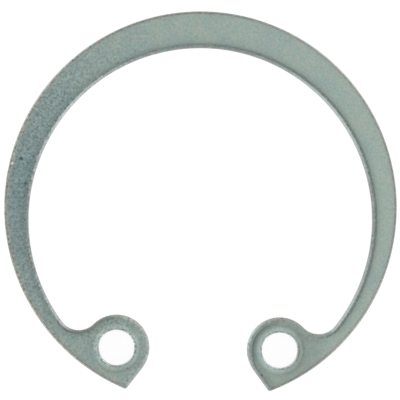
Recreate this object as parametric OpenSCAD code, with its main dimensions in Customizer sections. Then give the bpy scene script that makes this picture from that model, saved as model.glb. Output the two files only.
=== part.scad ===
// Internal circlip: a flat ring stamped from spring steel, which snaps into a groove in a bore. It is open
// on one side, where each end has a lug with a hole for pliers.
// Millimetres. The origin is on the ring's axis at half its thickness, and the gap is towards -Y.

/* [Ring] */
// Outside diameter of the ring when it is not squeezed
free_d = 26.9; // [24:0.1:30]
// Thickness of the steel strip
thickness = 1.2; // [0.8:0.05:1.75]
// Radial width of the band opposite the gap
band_w = 2.5; // [2:0.1:3.2]
// Radial width that the band's taper would reach at the middle of the gap
taper_w = 0.8; // [0.4:0.1:1.6]

/* [Lugs] */
// Diameter of the rounded lug heads, which reach from the outer edge inwards
lug_d = 4.5; // [4.2:0.1:5]
// Distance between the centres of the two plier holes
hole_pitch = 11.2; // [9.6:0.1:12.6]
// Diameter of the plier holes
hole_d = 2.45; // [1.7:0.05:2.6]
// Radius of the hollow where a lug runs into the band
root_r = 1.45; // [1:0.05:2]
// Sideways lean of a lug's gap side, per millimetre towards the outer edge
flank_lean = 0.75; // [0.4:0.05:1]
// Width of the blunted tip between a lug's gap side and the outer edge
tip_w = 0.15; // [0.1:0.05:0.5]

/* [Edges] */
// Width of the rolled edge that stamping leaves on the side where the cut starts
roll_w = 0.35; // [0.2:0.05:0.5]
// Depth of that rolled edge
roll_h = 0.15; // [0.05:0.01:0.2]
// Width of the rolled edge round the plier holes
hole_roll_w = 0.15; // [0.1:0.05:0.6]
// Depth of the rolled edge round the plier holes
hole_roll_h = 0.06; // [0.02:0.01:0.25]
// Radius of the tumbled edge on the side where the cut ends
tumbled_r = 0.15; // [0.04:0.01:0.2]

/* [Hidden] */
$fn = 144;

// Longer than any line inside the ring
far = 20;
// Distance by which a cutting shape runs past the strip
past = 1;
// Steps per millimetre of the coarse move to a point, and steps per unit of a heading
coarse_steps = 10;
heading_steps = 10000;
// Overlap that joins two pieces where they meet on a plane
lap = 2e-8;

outer_r = free_d / 2;
lug_r = lug_d / 2;
hole_r = hole_d / 2;

// The inner edge of the band is a circle set off towards the gap, so the band tapers
inner_r = outer_r - (band_w + taper_w) / 2;
inner_centre = [0, -(band_w - taper_w) / 2];

function unit(v) = v / norm(v);
function stepped(v, steps) = [for (c = v) round(steps * c) / steps];
function heading(v) = stepped(unit(v), heading_steps);
// Where two circles meet, on the left of the line from the first centre to the second
function meet(a, ra, b, rb) =
    let (d = norm(b - a), along = (d * d + ra * ra - rb * rb) / (2 * d), u = unit(b - a))
    a + along * u + sqrt(ra * ra - along * along) * [-u.y, u.x];
// Distance from a point to the outer edge, along a unit vector
function to_rim(p, u) = sqrt((p * u) * (p * u) + outer_r * outer_r - p * p) - p * u;

// The right lug's head touches the outer edge from inside, and the root hollow touches head and band
wanted_lug = [hole_pitch / 2, -sqrt(pow(outer_r - lug_r, 2) - pow(hole_pitch / 2, 2))];
wanted_root = meet(inner_centre, inner_r - root_r, wanted_lug, lug_r + root_r);
to_band = heading(wanted_root - inner_centre);
to_lug = heading(wanted_lug - wanted_root);
root_centre = inner_centre + (inner_r - root_r) * unit(to_band);
lug_centre = root_centre + (lug_r + root_r) * unit(to_lug);

// The gap side of the right lug leans outwards and makes a corner with the outer edge
flank_angle = atan(flank_lean);
to_gap = [-cos(flank_angle), -sin(flank_angle)];
flank_start = lug_centre + lug_r * to_gap;
outwards = [sin(flank_angle), -cos(flank_angle)];
corner = flank_start + to_rim(flank_start, outwards) * outwards;

// The tip is blunted square to the line that halves the corner
along_rim = unit([-corner.y, corner.x]);
into_tip = unit(along_rim - outwards);
tip_start = corner + tip_w / 2 / tan(acos(into_tip * along_rim)) * into_tip;

// Goes to a point in the plane of the ring, first to the nearest coarse step and then the rest of the way
module at(p) {
    coarse = stepped(p, coarse_steps);
    translate(coarse) translate(p - coarse) children();
}

// Section through the strip at a cut edge, with the edge at x = 0 and the steel on the right of it:
// rolled over at the top, where the cut starts, and tumbled at the bottom, where it ends
module edge_section(depth, w = roll_w, h = roll_h) {
    arc_r = (w * w + h * h) / (2 * h);
    difference() {
        translate([0, -thickness / 2]) square([depth, thickness]);
        difference() {
            translate([-past, thickness / 2 - h - tumbled_r]) square([past + w, past + h]);
            translate([w, thickness / 2 - arc_r]) circle(arc_r);
        }
        difference() {
            translate([-past, -thickness / 2 - past]) square(past + tumbled_r);
            translate([tumbled_r, -thickness / 2 + tumbled_r]) circle(tumbled_r);
        }
    }
}

// Strip outside a round cut edge
module outside(r) {
    rotate_extrude() translate([r, 0]) edge_section(2 * far);
}

// Strip inside a round cut edge
module inside(r) {
    rotate_extrude() intersection() {
        translate([r, 0]) mirror([1, 0]) edge_section(2 * far);
        translate([0, -thickness]) square([2 * far, 2 * thickness]);
    }
}

// Strip on the right of a straight cut edge along Y
module beside() {
    rotate([90, 0, 0]) linear_extrude(4 * far, center = true) edge_section(4 * far);
}

// Strip on the lug's side of its gap side
module behind_flank() {
    at(lug_centre) rotate([0, 0, flank_angle]) translate([-lug_r, 0, 0]) beside();
}

// Everything above and below an area of the plan
module over(points) {
    translate([0, 0, -thickness]) linear_extrude(2 * thickness) polygon(far * points);
}

// The tapering band, as far as the root of each lug
module band() {
    at(inner_centre) intersection() {
        outside(inner_r);
        over([[0, 0], to_band, [1, 1], [-1, 1], [-to_band.x, to_band.y]]);
    }
}

// The right lug's root hollow, with the steel between it and the outer edge
module root() {
    intersection() {
        at(root_centre) outside(root_r);
        at(root_centre) translate(-lap * (to_lug + to_band))
            over([[0, 0], to_lug, to_lug + to_band, to_band]);
        behind_flank();
    }
}

// The rounded head of the right lug
module head() {
    at(lug_centre) intersection() {
        inside(lug_r);
        over([[0, 0], -to_lug, [to_lug.y, -to_lug.x] - to_lug, [to_lug.y, -to_lug.x] + to_gap, to_gap]);
    }
}

// The wedge of the right lug between the end of its rounded head and its root's far side
module heel() {
    intersection() {
        behind_flank();
        at(lug_centre) translate(-lap * (to_gap + to_lug))
            over([[0, 0], to_gap, to_gap + to_lug, to_lug]);
    }
}

// Strip that is left when the right lug's tip is blunted
module behind_tip() {
    at(tip_start) rotate([0, 0, atan2(into_tip.y, into_tip.x)]) beside();
}

// Steel that a plier hole takes out of the right lug
module plier_hole() {
    at(lug_centre) rotate_extrude() difference() {
        translate([0, -thickness]) square([hole_r + hole_roll_w, 2 * thickness]);
        translate([hole_r, 0]) edge_section(far, hole_roll_w, hole_roll_h);
    }
}

module right_lug() {
    intersection() {
        union() {
            root();
            head();
            heel();
        }
        behind_tip();
    }
}

module circlip() {
    color([0.62, 0.66, 0.64]) difference() {
        intersection() {
            union() {
                band();
                right_lug();
                mirror([1, 0, 0]) right_lug();
            }
            mirror([0, 0, 1]) inside(outer_r);
        }
        plier_hole();
        mirror([1, 0, 0]) plier_hole();
    }
}

circlip();
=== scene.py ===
"""Internal circlip lying flat on a white floor, seen from straight above under soft studio light.

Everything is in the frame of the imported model: the origin is on the ring's axis at half its thickness, and
the gap is towards -Y. The ring's sizes are in millimetres. The studio and Blender's objects are in metres.
"""
import math

import bmesh
import bpy
from mathutils import Matrix, Vector
from mathutils.geometry import delaunay_2d_cdt


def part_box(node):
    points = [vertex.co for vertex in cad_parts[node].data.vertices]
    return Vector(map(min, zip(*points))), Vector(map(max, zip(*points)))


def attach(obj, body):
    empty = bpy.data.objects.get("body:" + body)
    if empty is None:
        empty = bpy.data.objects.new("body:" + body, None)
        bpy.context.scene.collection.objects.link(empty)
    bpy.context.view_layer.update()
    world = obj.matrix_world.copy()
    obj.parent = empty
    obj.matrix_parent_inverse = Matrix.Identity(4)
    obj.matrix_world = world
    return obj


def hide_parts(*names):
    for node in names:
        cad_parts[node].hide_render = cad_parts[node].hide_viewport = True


MM = 0.001

# The photo's frame: its size, where the ring's axis is in it, its scale, how far the ring is turned in it,
# and how high the camera is over the ring
PHOTO_PX = 400
RING_PX = Vector((200.48, 207.62))
PX_PER_MM = 14.597
RING_TURN = math.radians(0.97)  # clockwise
CAMERA_HEIGHT = 300 * MM

# Sizes of the ring, as in the part's source
OUTER_R = 13.45
BAND_W = 2.5
TAPER_W = 0.8
LUG_R = 2.25
HOLE_PITCH = 11.2
HOLE_R = 1.225
ROOT_R = 1.45
FLANK_ANGLE = math.atan(0.75)
TIP_W = 0.15
ROLL = (0.35, 0.15)  # width and depth of the rolled edges
HOLE_ROLL = (0.15, 0.06)
TUMBLED_R = 0.15

# Mesh: steps along straight and curved edges and the fewest of them, distances from an edge at which more
# points lie, differences in distance and place that are too small to count, and the bend of a sharp edge
EDGE_STEP = 0.2
ARC_STEP = math.radians(3)
FEWEST_STEPS = 2
LAYERS = (0.006, 0.025, 0.06, 0.1, 0.14, 0.18, 0.22, 0.26, 0.3, 0.34, 0.38, 0.43, 0.5, 0.6, 0.75, 0.9, 1.1)
SAME_DISTANCE = 1e-4
SAME_PLACE = 1e-6
SHARP_EDGE = math.radians(32)

# Painted shade near the edges. A dark line of painted shade runs along a rolled edge, sharp towards the edge
# and fading into the face, and is darker where the edge faces the dark side. Along a tumbled edge it is
# finer, and lies further in on the stained side
BAND_LINE = 0.3
TUMBLED_LINE = 0.14
STAINED_TUMBLED_LINE = 0.3
LINE_STARTS = 0.07
ROOT_LINE_STARTS = 0.2
BAND_LINE_FADES = 0.18
LUG_LINE_FADES = 0.12
ROOT_LINE_FADES = 0.17
TUMBLED_LINE_FADES = 0.07
BAND_LINE_DEPTH = 0.31
BAND_DARK_SIDE_GAIN = 0.06
TUMBLED_LINE_DEPTH = 0.1
DARK_SIDE = Vector((-0.96, 0.28))
STAINED_SIDE = (-0.4, -0.9)  # x of a heading where this side starts and where it is full
# Each lug: where its dark line of painted shade lies on the head, on the gap side and in the root, how dark
# it is there, how bright its painted highlights are on the head's edge towards the other lug and on the
# hole's edge, the side of the hole on which the pliers have not worn the plate, and how dull the lug is
LEFT_LUG = {
    "head_line": 0.27,
    "gap_line": 0.27,
    "root_line": 0.16,
    "line_depth": 0.3,
    "root_depth": 0.4,
    "head_edge_highlight": 0.2,
    "hole_edge_highlight": 0.35,
    "plain_side": Vector((0.3, -0.95)),
    "dulled": 0.03,
}
RIGHT_LUG = {
    "head_line": 0.39,
    "gap_line": 0.24,
    "root_line": 0.3,
    "line_depth": 0.5,
    "root_depth": 0.0,
    "head_edge_highlight": 0.65,
    "hole_edge_highlight": 0.56,
    "plain_side": Vector((0.97, -0.24)),
    "dulled": 0.12,
}
# Both lugs: how far a lug reaches from its hole, where its root's middle is on the way from band to head, how
# far the root reaches from there, which edges are on the gap side, and how much duller the band's side is
LUG_STARTS = 2.4
ROOT_MIDDLE = 0.9
ROOT_REACH = 2.4
GAP_SIDE = (-0.3, -0.6)  # y of an edge's facing where this side starts and where it is full
BAND_SIDE_DULLER = 0.5
# Round a hole there is a bright worn ring inside a dark line of painted shade, and a painted highlight along
# the hole's edge
HOLE_LINE = 0.42
HOLE_LINE_DEPTH = 0.1
PLAIN_SIDE_LINE_DEPTH = 0.16
WORN_W = 0.5
WORN_GAIN = 0.25
HOLE_EDGE_W = 0.2
# A lug's edges are rough and pale, and its head has a painted highlight on the side towards the other lug
ROUGH_EDGE_W = 0.7
ROUGH_EDGE_GAIN = 0.22
ROUGH_EDGE_PALER = 0.18
HEAD_EDGE_W = 0.2
# Widths over which a rolled edge, a hole and a tumbled edge have their own, more neutral greys. A tumbled
# edge's grey is warmer, and the top of a lug has it too
ROLLED_RIM = 0.3
HOLE_RIM = 0.25
TUMBLED_RIM = 0.32
STAINED_TUMBLED_RIM = 0.45

# Zinc plate: its colours as a picture shows them, the strength of a rim at which its grey is full, and the
# middle of the stain with the distances at which it starts to fade and ends
GREEN_ZINC = (155, 170, 161)
BLUE_ZINC = (152, 168, 163)
STAINED_ZINC = (126, 146, 146)
ROLLED_ZINC = (153, 163, 161)
WARM_ZINC = (157, 163, 156)
FULL_RIM = 0.6
STAIN_MIDDLE = (-13, 1, 0)
STAIN_STARTS = 1.5
STAIN_ENDS = 15.0
# Patterns of the plate: the size of their patches, the values between which a pattern mostly lies, and how
# strongly each of them shows
BLOTCH_W = 1.6
MOTTLE_W = 0.19
GRAIN_W = 0.07
WARMTH_W = 0.7
PATTERN = (0.3, 0.7)
WIDE_PATTERN = (0.25, 0.75)
PATTERN_ROUGHNESS = 0.55
BLUE_BLOTCHES = (0.4, 0.62)
STAIN_PATCHINESS = 0.12
GRAIN_SHARE = 0.5
PLAIN_CONTRAST = 0.26
STAINED_CONTRAST = 0.52
FULL_CONTRAST = 0.6  # share of the stain at which it is reached
TONE_STRENGTH = (0.7, 1.3)
WARMTH = 0.07
# Surface of the plate
METALLIC = 0.8
ROUGHNESS = (0.3, 0.42)
BUMP_STRENGTH = 0.2
BUMP_HEIGHT = 0.004
# Pits: the share of a pit's radius that is its floor, the random values at which a cell starts to have a
# pit, and the depth of the pits on the clean side, where the stain has 1
PIT_SPACING = 0.9
PIT_R = 0.09
PIT_FLOOR = 0.4
PIT_CHANCE = (0.62, 0.7)
CLEAN_SIDE_PITS = 0.25
PIT_SHADE = 0.6
# Cut walls: streaked across the strip where the punch sheared them, next to the rolled edge, and dull where
# they tore, with a ragged border between
WALL = (0.5, 0.2)  # z of the surface's normal where a wall starts and where it is full
STREAK_W = 0.13
STREAK_STRETCH = (1, 1, 0.1)
STREAK_CONTRAST = 0.16
STREAK_HEIGHT = 0.3
SHEARED_ENDS = 0.48
BORDER_W = 0.04
RAGGED_W = 0.5
RAGGEDNESS = 0.14
TORN_SHADE = 0.84
TORN_ROUGHNESS = 0.15
# Single marks on the upper face: where they are, how large, and their brightness against the plate. They
# fade out between these multiples of their size
MARKS = (
    ((-12.36, 3.17), 0.15, 0.35),
    ((-11.99, 1.47), 0.16, 0.55),
    ((-12.93, 2.8), 0.12, 2.0),
    ((-12.84, 3.51), 0.1, 1.8),
    ((-4.8, -11.1), 0.08, 0.6),
    ((4.4, -11.4), 0.1, 0.6),
)
MARK_FADES = (0.4, 1.2)

# Studio: the floor, a hair below the ring, with its grey and the white that it shows of its own, a soft box
# a little to the right overhead, four soft lamps in the corners, and the walls' brightness, which goes by how
# steep the view line is, from 0 to 1 straight up
FLOOR_HALF = 1.0
FLOOR_GAP = 0.005 * MM
FLOOR_GREY = 0.24
FLOOR_GLOW = 0.88
SOFT_BOX_R = 0.11
SOFT_BOX_AT = (0.05, 0, 0.4)
SOFT_BOX_LEVEL = 1.2
CORNER_R = 0.19
CORNER_DISTANCE = 0.5
CORNER_HEADINGS = (48, 143, 219, 322)  # degrees
CORNER_RISE = math.radians(22)
CORNER_LEVEL = 1.28
CEILING_STARTS = 0.92
WALL_ENDS = 0.3
CEILING_LEVEL = 0.5
WALL_LEVEL = 1.02

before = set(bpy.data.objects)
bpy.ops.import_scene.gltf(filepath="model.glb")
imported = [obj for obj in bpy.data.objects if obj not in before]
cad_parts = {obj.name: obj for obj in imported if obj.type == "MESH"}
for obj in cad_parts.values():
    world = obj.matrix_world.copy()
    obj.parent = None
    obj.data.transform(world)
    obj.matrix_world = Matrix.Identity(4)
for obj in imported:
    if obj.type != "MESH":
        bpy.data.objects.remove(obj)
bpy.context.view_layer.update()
scene = bpy.context.scene
scene.view_settings.view_transform = "Standard"

low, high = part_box("circlip")
THICKNESS = (high.z - low.z) / MM


def polar(angle, r=1.0):
    return Vector((r * math.cos(angle), r * math.sin(angle)))


def heading(v):
    return math.atan2(v.y, v.x)


def cross(a, b):
    return a.x * b.y - a.y * b.x


def between(a, b, share):
    return a + (b - a) * share


def meet(a, ra, b, rb):
    """Where two circles meet, on the left of the line from the first centre to the second."""
    d = (b - a).length
    along = (d * d + ra * ra - rb * rb) / (2 * d)
    u = (b - a) / d
    return a + along * u + math.sqrt(ra * ra - along * along) * Vector((-u.y, u.x))


def to_rim(p, u):
    """Distance from a point to the outer edge, along a unit vector."""
    return math.sqrt(p.dot(u) ** 2 + OUTER_R**2 - p.dot(p)) - p.dot(u)


# The plan of the right half: the inner edge is set off towards the gap, the lug head touches the outer edge,
# the root hollow touches head and band, and the gap side leans outwards to a blunted tip
inner_r = OUTER_R - (BAND_W + TAPER_W) / 2
inner_centre = Vector((0, -(BAND_W - TAPER_W) / 2))
lug_centre = Vector((HOLE_PITCH / 2, -math.sqrt((OUTER_R - LUG_R) ** 2 - (HOLE_PITCH / 2) ** 2)))
root_centre = meet(inner_centre, inner_r - ROOT_R, lug_centre, LUG_R + ROOT_R)
to_band = (root_centre - inner_centre).normalized()
to_lug = (lug_centre - root_centre).normalized()
root_middle = root_centre + polar(between(heading(to_band), heading(to_lug), ROOT_MIDDLE), ROOT_R)
to_gap = -polar(FLANK_ANGLE)
outwards = Vector((-to_gap.y, to_gap.x))
flank_start = lug_centre + LUG_R * to_gap
corner = flank_start + to_rim(flank_start, outwards) * outwards
along_rim = Vector((-corner.y, corner.x)).normalized()
into_tip = (along_rim - outwards).normalized()
tip_start = corner + TIP_W / 2 / math.tan(into_tip.angle(along_rim)) * into_tip


def right_side(p):
    """A point of the plan, brought to the right half."""
    return Vector((abs(p.x), p.y))


def inner_edge(p):
    """Distance of a point of the plan from the inner edge or the gap side, and the unit vector from there to
    the edge, both in the right half."""
    p = right_side(p)
    from_band = p - inner_centre
    if cross(to_band, from_band) >= 0:
        return from_band.length - inner_r, -from_band.normalized()
    from_lug = p - lug_centre
    flank = LUG_R - from_lug.dot(to_gap), to_gap
    from_root = p - root_centre
    if cross(to_lug, from_root) >= 0:
        root = from_root.length - ROOT_R, -from_root.normalized()
        return min(root, flank, key=lambda edge: edge[0])
    if cross(to_gap, from_lug) >= 0:
        return flank
    return LUG_R - from_lug.length, from_lug.normalized()


def distances(p):
    """Distances of a point of the plan from the inner edge, the outer edge, the plier hole and the tip."""
    p = right_side(p)
    hole = (p - lug_centre).length - HOLE_R
    return inner_edge(p)[0], OUTER_R - p.length, hole, (p - tip_start).dot(into_tip)


def rolled(d, size):
    """Drop of the surface at a distance from a rolled edge."""
    w, h = size
    if d >= w:
        return 0.0
    r = (w * w + h * h) / (2 * h)
    return r - math.sqrt(r * r - (w - max(d, 0)) ** 2)


def tumbled(d):
    """Drop of the surface at a distance from a tumbled edge."""
    return TUMBLED_R - math.sqrt(TUMBLED_R**2 - max(TUMBLED_R - max(d, 0), 0) ** 2)


def heights(p):
    """Heights of the upper and the lower face at a point of the plan."""
    inner, outer, hole, tip = distances(p)
    drop = max(rolled(inner, ROLL), rolled(tip, ROLL), rolled(hole, HOLE_ROLL), tumbled(outer))
    rise = max(tumbled(inner), tumbled(tip), tumbled(hole), rolled(outer, ROLL))
    return THICKNESS / 2 - drop, rise - THICKNESS / 2


def progress(value, start, end):
    """How far a value has come from start to end, from 0 to 1."""
    return min(1.0, max(0.0, (value - start) / (end - start)))


def fade(d, width):
    """Goes from 1 at an edge to 0 at a distance from it."""
    return progress(d, width, 0)


def late_fade(d, width):
    """Goes from 1 to 0 too, but only over the second half of the way."""
    return min(1.0, 2 * fade(d, width))


def line(d, place, fades, starts=LINE_STARTS):
    """Strength of a dark line of painted shade along an edge, at a distance from the edge."""
    if d < place:
        return math.exp(-(((place - d) / starts) ** 2))
    return math.exp((place - d) / fades)


def lugs_share(hole):
    """Goes from 1 on a lug to 0 on the band, by the distance from the plier hole."""
    return late_fade(hole, LUG_STARTS)


def roots_share(p):
    """Goes from 1 in the root of a lug to 0 on its head and on the band."""
    return late_fade((right_side(p) - root_middle).length, ROOT_REACH)


def stained_share(p):
    """Goes from 0 to 1 towards the stained side of the ring."""
    return progress(p.x / p.length, *STAINED_SIDE)


def rough_share(p):
    """Goes from 1 at a lug's rough edges to 0 on its face and on the band."""
    inner, _, hole, tip = distances(p)
    return lugs_share(hole) * late_fade(min(inner, tip), ROUGH_EDGE_W)


def tumbled_shade(d, place=TUMBLED_LINE):
    """Brightness of a face with the painted shade line of a tumbled edge, at a distance from the edge, where
    the plain plate has 1.
    """
    return 1 - TUMBLED_LINE_DEPTH * line(d, place, TUMBLED_LINE_FADES)


def upper_tone(p):
    """Brightness of the upper face at a point of the plan, where the plain plate has 1: painted shade lines
    and painted highlights along the edges, with the lugs' wear.
    """
    inner, outer, hole, _ = distances(p)
    side = Vector((math.copysign(1, p.x), 1))
    look = RIGHT_LUG if p.x > 0 else LEFT_LUG
    facing = inner_edge(p)[1]
    to_dark_side = (facing * side).dot(DARK_SIDE)
    on_gap_side = progress(facing.y, *GAP_SIDE)
    to_other_lug = max(0.0, -facing.x) * (1 - on_gap_side)
    from_hole = (p - lug_centre * side).normalized()
    to_plain_side = max(0.0, from_hole.dot(look["plain_side"]))
    to_band_side = max(0.0, from_hole.x * side.x)

    lug = lugs_share(hole)
    root = roots_share(p)
    band_depth = BAND_LINE_DEPTH + BAND_DARK_SIDE_GAIN * to_dark_side
    lug_depth = look["line_depth"] * max(0.0, to_dark_side)
    lug_place = between(look["head_line"], look["gap_line"], on_gap_side)
    depth = between(between(band_depth, lug_depth, lug), look["root_depth"], root)
    place = between(between(BAND_LINE, lug_place, lug), look["root_line"], root)
    fades = between(between(BAND_LINE_FADES, LUG_LINE_FADES, lug), ROOT_LINE_FADES, root)
    # Painted shade: dark lines along the inner and the outer edge
    wear_and_painted_light = 1 - depth * line(inner, place, fades, between(LINE_STARTS, ROOT_LINE_STARTS, root))
    wear_and_painted_light *= tumbled_shade(outer, between(TUMBLED_LINE, STAINED_TUMBLED_LINE, stained_share(p)))

    # A dark line of painted shade round the hole, then the pliers' worn ring and a painted highlight on the
    # hole's edge
    hole_depth = HOLE_LINE_DEPTH + PLAIN_SIDE_LINE_DEPTH * to_plain_side
    wear_and_painted_light *= 1 - hole_depth * line(hole, HOLE_LINE, LUG_LINE_FADES)
    worn = WORN_GAIN * late_fade(hole, WORN_W) * (1 - to_plain_side)
    wear_and_painted_light *= 1 + worn + look["hole_edge_highlight"] * fade(hole, HOLE_EDGE_W)

    wear_and_painted_light *= 1 + ROUGH_EDGE_PALER * rough_share(p)
    # Painted highlight on the head's edge towards the other lug
    wear_and_painted_light *= 1 + look["head_edge_highlight"] * lug * to_other_lug * fade(inner, HEAD_EDGE_W)
    return wear_and_painted_light * (1 - look["dulled"] * lug * (1 + BAND_SIDE_DULLER * to_band_side))


def lower_shade(p):
    """Painted shade of the lower face at a point of the plan: dark lines along its edges, where the plain
    plate has 1.
    """
    inner, outer, hole, tip = distances(p)
    rolled_shade = 1 - BAND_LINE_DEPTH * line(outer, BAND_LINE, BAND_LINE_FADES)
    return rolled_shade * tumbled_shade(min(inner, hole, tip))


def tones(p):
    """Brightness of the upper and the lower face at a point of the plan, with painted shade and painted
    highlights.
    """
    return upper_tone(p), lower_shade(p)


def rolled_rims(p):
    """How far the upper and the lower face have a rolled edge's grey at a point of the plan."""
    inner, outer, hole, tip = distances(p)
    upper = max(fade(min(inner, tip), ROLLED_RIM), fade(hole, HOLE_RIM))
    return upper, fade(outer, ROLLED_RIM)


def warm_rims(p):
    """How far the upper and the lower face have a tumbled edge's warmer grey at a point of the plan."""
    inner, outer, hole, tip = distances(p)
    tumbled_w = between(TUMBLED_RIM, STAINED_TUMBLED_RIM, stained_share(p))
    lug_top = lugs_share(hole) * max(0.0, inner_edge(p)[1].y) * fade(min(inner, tip), ROLLED_RIM)
    return max(fade(outer, tumbled_w), lug_top), fade(min(inner, tip, hole), TUMBLED_RIM)


def roughness(p):
    """How much rougher than the plain plate both faces are at a point of the plan, from 0 to 1."""
    return (rough_share(p),) * 2


def arc(centre, r, start, end, into):
    """Points on an arc, each with the direction into the steel, without the last one. into is 1 for steel
    outside the arc and -1 for steel inside it."""
    steps = max(FEWEST_STEPS, math.ceil(abs(end - start) / min(ARC_STEP, EDGE_STEP / r)))
    angles = [start + (end - start) * i / steps for i in range(steps)]
    return [(centre + polar(a, r), into * polar(a)) for a in angles]


def straight(start, end, into):
    """Points on a straight edge, each with the direction into the steel, without the last one."""
    steps = max(FEWEST_STEPS, math.ceil((end - start).length / EDGE_STEP))
    return [(start.lerp(end, i / steps), into) for i in range(steps)]


def outline():
    """Points round the ring, each with the direction into the steel, and round each plier hole."""
    turn = 2 * math.pi
    top = math.pi / 2
    band_end = heading(to_band)
    flank_run = (tip_start - flank_start).dot(into_tip) / outwards.dot(into_tip)
    flank_end = flank_start + flank_run * outwards
    along_tip = Vector((-into_tip.y, into_tip.x))
    along_tip *= math.copysign(1, along_tip.x)
    rim_start = tip_start + to_rim(tip_start, along_tip) * along_tip
    right = (
        arc(inner_centre, inner_r, top, band_end, 1)
        + arc(root_centre, ROOT_R, band_end, heading(to_lug), 1)
        + arc(lug_centre, LUG_R, heading(-to_lug), heading(to_gap) + turn, -1)
        + straight(flank_start, flank_end, -to_gap)
        + straight(flank_end, rim_start, into_tip)
        + arc(Vector((0, 0)), OUTER_R, heading(rim_start), top, -1)
    )
    flip = Vector((-1, 1))
    left = [(p * flip, into * flip) for p, into in reversed(right)]
    top_rim = (Vector((0, OUTER_R)), Vector((0, -1)))
    loops = [right + [top_rim] + left[:-1]]
    for side in (1, -1):
        loops.append(arc(Vector((side * lug_centre.x, lug_centre.y)), HOLE_R, 0, turn, 1))
    return loops


def closed(loop):
    """Pairs of neighbours all the way round a loop."""
    return zip(loop, [*loop[1:], loop[0]])


def plan():
    """The ring from above: points, triangles between them, and the points round each border in order."""
    points, borders = [], []
    for loop in outline():
        first = len(points)
        points += [p for p, _ in loop]
        borders.append(range(first, len(points)))
        for depth in LAYERS:
            layer = [p + depth * into for p, into in loop]
            points += [p for p in layer if min(distances(p)) > depth - SAME_DISTANCE]
    sides = [side for border in borders for side in closed(border)]
    # 0 asks for triangles between all the points, also in the holes and in the gap
    points, _, triangles, origins, _, _ = delaunay_2d_cdt(points, sides, [], 0, SAME_PLACE)
    place = {old: new for new, olds in enumerate(origins) for old in olds}

    def inside(triangle):
        middle = sum((points[i] for i in triangle), Vector((0, 0))) / 3
        return min(distances(middle)) > 0

    triangles = [triangle for triangle in triangles if inside(triangle)]
    return points, triangles, [[place[i] for i in border] for border in borders]


def ring_mesh():
    """The ring as a fine closed mesh: the plan is set on both faces, with walls between their borders."""
    points, triangles, borders = plan()
    count = len(points)
    upper_heights, lower_heights = zip(*map(heights, points))
    places = [(p.x, p.y, z) for p, z in zip(points * 2, upper_heights + lower_heights)]
    faces = [tuple(triangle) for triangle in triangles]
    faces += [tuple(count + i for i in reversed(triangle)) for triangle in triangles]
    faces += [(i, j, count + j, count + i) for border in borders for i, j in closed(border)]

    mesh = bpy.data.meshes.new("ring")
    mesh.from_pydata([Vector(place) * MM for place in places], [], faces)
    looks = {"wear_and_painted_light": tones, "rolled_rim": rolled_rims, "warm_rim": warm_rims, "rough": roughness}
    for name, look in looks.items():
        on_upper, on_lower = zip(*map(look, points))
        mesh.attributes.new(name, "FLOAT", "POINT").data.foreach_set("value", on_upper + on_lower)
    shell = bmesh.new()
    shell.from_mesh(mesh)
    bmesh.ops.recalc_face_normals(shell, faces=shell.faces)
    shell.to_mesh(mesh)
    shell.free()
    return mesh


def add_ring():
    """The ring that the camera sees. It has the solid's shape, with finer edges."""
    mesh = ring_mesh()
    mesh.materials.append(zinc())
    ring = bpy.data.objects.new("ring", mesh)
    scene.collection.objects.link(ring)
    mesh.shade_smooth()
    mesh.set_sharp_from_angle(angle=SHARP_EDGE)
    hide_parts("circlip")
    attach(ring, "root")


def add_camera():
    """Looks straight down, turned so that the ring lies in the frame as in the photo."""
    camera = bpy.data.objects.new("camera", bpy.data.cameras.new("camera"))
    scene.collection.objects.link(camera)
    middle = PHOTO_PX / 2
    offset = Vector((middle - RING_PX.x, RING_PX.y - middle, 0)) * MM / PX_PER_MM
    above = Vector((0, 0, high.z + CAMERA_HEIGHT))
    camera.location = Matrix.Rotation(RING_TURN, 3, "Z") @ offset + above
    camera.rotation_euler = (0, 0, RING_TURN)
    camera.data.sensor_fit = "HORIZONTAL"
    camera.data.angle = 2 * math.atan(PHOTO_PX / PX_PER_MM * MM / 2 / CAMERA_HEIGHT)
    camera.data.clip_start = CAMERA_HEIGHT / 10
    scene.camera = camera


class Nodes:
    """A shader tree that is built up by calls. Each call returns an output for later calls to take in."""

    def __init__(self, owner, output):
        owner.use_nodes = True
        self.tree = owner.node_tree
        self.tree.nodes.clear()
        self.output = self.tree.nodes.new(output)

    def add(self, kind, inputs=None, out=0, **settings):
        node = self.tree.nodes.new("ShaderNode" + kind)
        for name, value in settings.items():
            setattr(node, name, value)
        for name, value in (inputs or {}).items():
            if isinstance(value, bpy.types.NodeSocket):
                self.tree.links.new(value, node.inputs[name])
            else:
                node.inputs[name].default_value = value
        return node.outputs[out]

    def attribute(self, name):
        return self.add("Attribute", attribute_name=name, out="Fac")

    def distance(self, a, b):
        return self.add("VectorMath", {0: a, 1: b}, out="Value", operation="DISTANCE")

    def math(self, operation, value, *others):
        """One operation on a value alone, or with each of the others in turn."""
        for other in others or (0.0,):
            value = self.add("Math", {0: value, 1: other}, operation=operation)
        return value

    def noise(self, where, size, detail=2):
        """Soft random pattern whose patches are about size across, from 0 to 1."""
        inputs = {"Vector": where, "Scale": 1 / size, "Detail": detail, "Roughness": PATTERN_ROUGHNESS}
        return self.add("TexNoise", inputs)

    def spread(self, value, start, end, first=0.0, last=1.0, ease="SMOOTHSTEP"):
        """Takes a value from start..end to first..last, and no further."""
        inputs = {"Value": value, "From Min": start, "From Max": end, "To Min": first, "To Max": last}
        return self.add("MapRange", inputs, interpolation_type=ease)

    def swing(self, value, limits, reach, middle=0.0):
        """Takes a value between two limits to as far as reach on both sides of a middle."""
        return self.spread(value, *limits, middle - reach, middle + reach, "LINEAR")

    def mix(self, share, a, b, blend="MIX"):
        """Mixes two colours. Inputs and outputs 6, 7 and 2 of the node are the ones for colours."""
        return self.add("Mix", {0: share, 6: a, 7: b}, out=2, data_type="RGBA", blend_type=blend)

    def finish(self, surface):
        self.tree.links.new(surface, self.output.inputs["Surface"])


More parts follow.
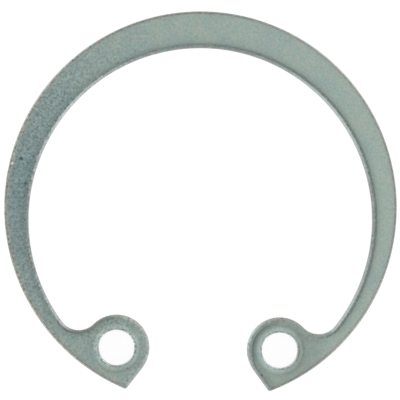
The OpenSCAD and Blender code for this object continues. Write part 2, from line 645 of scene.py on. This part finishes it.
def srgb(colour):
    """A colour as a picture shows it, from 0 to 255, as the linear colour that a shader takes."""
    def linear(c):
        c /= 255
        return c / 12.92 if c <= 0.04045 else ((c + 0.055) / 1.055) ** 2.4
    return (*map(linear, colour), 1.0)


def add_floor():
    """White floor under the ring. It shows some white of its own to the camera, and keeps the shadow."""
    material = bpy.data.materials.new("floor")
    nodes = Nodes(material, "ShaderNodeOutputMaterial")
    rays = ("Is Camera Ray", "Is Glossy Ray", "Is Transmission Ray")
    seen = nodes.math("ADD", *(nodes.add("LightPath", out=ray) for ray in rays))
    glow = nodes.add("Emission", {"Strength": nodes.math("MULTIPLY", seen, FLOOR_GLOW)})
    paint = nodes.add("BsdfDiffuse", {"Color": (FLOOR_GREY, FLOOR_GREY, FLOOR_GREY, 1)})
    nodes.finish(nodes.add("AddShader", {0: glow, 1: paint}))

    mesh = bpy.data.meshes.new("floor")
    corners = [(-1, -1), (1, -1), (1, 1), (-1, 1)]
    mesh.from_pydata([(x * FLOOR_HALF, y * FLOOR_HALF, 0) for x, y in corners], [], [(0, 1, 2, 3)])
    mesh.materials.append(material)
    floor = bpy.data.objects.new("floor", mesh)
    floor.location.z = low.z - FLOOR_GAP
    scene.collection.objects.link(floor)


def add_lamp(name, at, r, level):
    """A round soft lamp that faces the ring and looks level times as bright as white."""
    lamp = bpy.data.lights.new(name, "AREA")
    lamp.shape = "DISK"
    lamp.size = 2 * r
    lamp.energy = level * (math.pi * r) ** 2
    body = bpy.data.objects.new(name, lamp)
    body.location = at
    body.rotation_euler = Vector(at).to_track_quat("Z", "Y").to_euler()
    scene.collection.objects.link(body)


def add_light():
    """A soft box overhead and lamps in the corners, in a room whose white walls are brightest low down."""
    add_lamp("soft_box", SOFT_BOX_AT, SOFT_BOX_R, SOFT_BOX_LEVEL)
    for angle in CORNER_HEADINGS:
        side = polar(math.radians(angle), CORNER_DISTANCE * math.cos(CORNER_RISE))
        at = (side.x, side.y, CORNER_DISTANCE * math.sin(CORNER_RISE))
        add_lamp(f"corner_{angle}", at, CORNER_R, CORNER_LEVEL)

    world = bpy.data.worlds.new("room")
    nodes = Nodes(world, "ShaderNodeOutputWorld")
    height = nodes.add("SeparateXYZ", {0: nodes.add("TexCoord", out="Generated")}, out="Z")
    level = nodes.spread(height, CEILING_STARTS, WALL_ENDS, CEILING_LEVEL, WALL_LEVEL)
    nodes.finish(nodes.add("Background", {"Strength": level}))
    scene.world = world


def cut_walls(nodes, where, rolled_rim):
    """The streaks of the sheared zone, from -1 to 1, and how torn the walls are, from 0 to 1."""
    upright = nodes.add("SeparateXYZ", {0: nodes.add("NewGeometry", out="Normal")}, out="Z")
    wall = nodes.spread(nodes.math("ABSOLUTE", upright), *WALL)
    stretched = nodes.add("VectorMath", {0: where, 1: STREAK_STRETCH}, operation="MULTIPLY")
    streaks = nodes.swing(nodes.noise(stretched, STREAK_W), PATTERN, 1)
    ragged = nodes.swing(nodes.noise(stretched, RAGGED_W, detail=3), PATTERN, RAGGEDNESS)
    border = nodes.math("ADD", rolled_rim, ragged)
    torn = nodes.spread(border, SHEARED_ENDS + BORDER_W, SHEARED_ENDS - BORDER_W)
    torn = nodes.math("MULTIPLY", torn, wall)
    sheared = nodes.math("SUBTRACT", wall, torn)
    return nodes.math("MULTIPLY", streaks, sheared), torn


def pits(nodes, where, stained):
    """How deep the plate is pitted, from 0 to 1."""
    cells = {"Vector": where, "Scale": 1 / PIT_SPACING}
    r = PIT_R / PIT_SPACING
    bowl = nodes.spread(nodes.add("TexVoronoi", cells), r, PIT_FLOOR * r)
    there = nodes.spread(nodes.add("TexVoronoi", cells, out="Color"), *PIT_CHANCE)
    depth = nodes.spread(stained, 0, 1, CLEAN_SIDE_PITS, 1)
    return nodes.math("MULTIPLY", bowl, there, depth)


def marks(nodes, where):
    """The brightness of each single mark, where the plain plate has 1."""
    for (x, y), size, brightness in MARKS:
        away = nodes.distance(where, (x, y, THICKNESS / 2))
        start, end = (size * fades for fades in MARK_FADES)
        yield nodes.spread(away, start, end, brightness, 1)


def zinc():
    """Dull zinc plate: grey with a faint green tint, finely mottled, and darker, bluer and pitted at -X."""
    material = bpy.data.materials.new("zinc_plate")
    nodes = Nodes(material, "ShaderNodeOutputMaterial")
    in_metres = nodes.add("TexCoord", out="Object")
    where = nodes.add("VectorMath", {0: in_metres, "Scale": 1 / MM}, operation="SCALE")
    wear_and_painted_light, rolled_rim, warm_rim, rough = map(nodes.attribute, ("wear_and_painted_light", "rolled_rim", "warm_rim", "rough"))
    blotch = nodes.noise(where, BLOTCH_W)
    mottle = nodes.noise(where, MOTTLE_W)
    grain = nodes.noise(where, GRAIN_W, detail=1)
    from_stain = nodes.distance(where, STAIN_MIDDLE)
    stained = nodes.spread(from_stain, STAIN_STARTS, STAIN_ENDS, 1, 0, "LINEAR")
    streaked, torn = cut_walls(nodes, where, rolled_rim)

    tint = nodes.mix(nodes.spread(blotch, *BLUE_BLOTCHES), srgb(GREEN_ZINC), srgb(BLUE_ZINC))
    patchy = nodes.math("ADD", stained, nodes.swing(blotch, PATTERN, STAIN_PATCHINESS))
    colour = nodes.mix(patchy, tint, srgb(STAINED_ZINC))
    for rim, grey in ((rolled_rim, ROLLED_ZINC), (warm_rim, WARM_ZINC)):
        colour = nodes.mix(nodes.spread(rim, 0, FULL_RIM), colour, srgb(grey))

    contrast = nodes.spread(stained, 0, FULL_CONTRAST, PLAIN_CONTRAST, STAINED_CONTRAST, "LINEAR")
    fine = nodes.swing(grain, WIDE_PATTERN, GRAIN_SHARE)
    speckle = nodes.math("ADD", nodes.swing(mottle, WIDE_PATTERN, 1), fine)
    strength = nodes.spread(mottle, *PATTERN, *TONE_STRENGTH)
    # The mesh's painted shade lines and painted highlights along the edges, with the lugs' wear, made uneven
    # by the mottle
    uneven = nodes.math("MULTIPLY", nodes.math("SUBTRACT", wear_and_painted_light, 1), strength)
    pitted = pits(nodes, where, stained)
    shade = nodes.math(
        "MULTIPLY",
        nodes.math("ADD", nodes.math("MULTIPLY", speckle, contrast), 1),
        nodes.math("ADD", uneven, 1),
        nodes.swing(streaked, (-1, 1), STREAK_CONTRAST, 1),
        nodes.spread(torn, 0, 1, 1, TORN_SHADE, "LINEAR"),
        nodes.spread(pitted, 0, 1, 1, PIT_SHADE, "LINEAR"),
        *marks(nodes, where),
    )
    warmth = nodes.swing(nodes.noise(where, WARMTH_W), WIDE_PATTERN, WARMTH, 1)
    red = nodes.math("MULTIPLY", shade, warmth)
    colour = nodes.mix(1, colour, nodes.add("CombineColor", {0: red, 1: shade, 2: shade}), "MULTIPLY")

    uneven_roughness = nodes.math(
        "ADD",
        nodes.spread(mottle, *PATTERN, *ROUGHNESS),
        nodes.math("MULTIPLY", rough, ROUGH_EDGE_GAIN),
        nodes.math("MULTIPLY", torn, TORN_ROUGHNESS),
    )
    height = nodes.math("ADD", mottle, grain, nodes.math("MULTIPLY", streaked, STREAK_HEIGHT))
    bump = {"Height": height, "Strength": BUMP_STRENGTH, "Distance": BUMP_HEIGHT * MM}
    inputs = {
        "Base Color": colour,
        "Metallic": METALLIC,
        "Roughness": uneven_roughness,
        "Normal": nodes.add("Bump", bump),
    }
    nodes.finish(nodes.add("BsdfPrincipled", inputs))
    return material


add_camera()
add_floor()
add_light()
add_ring()
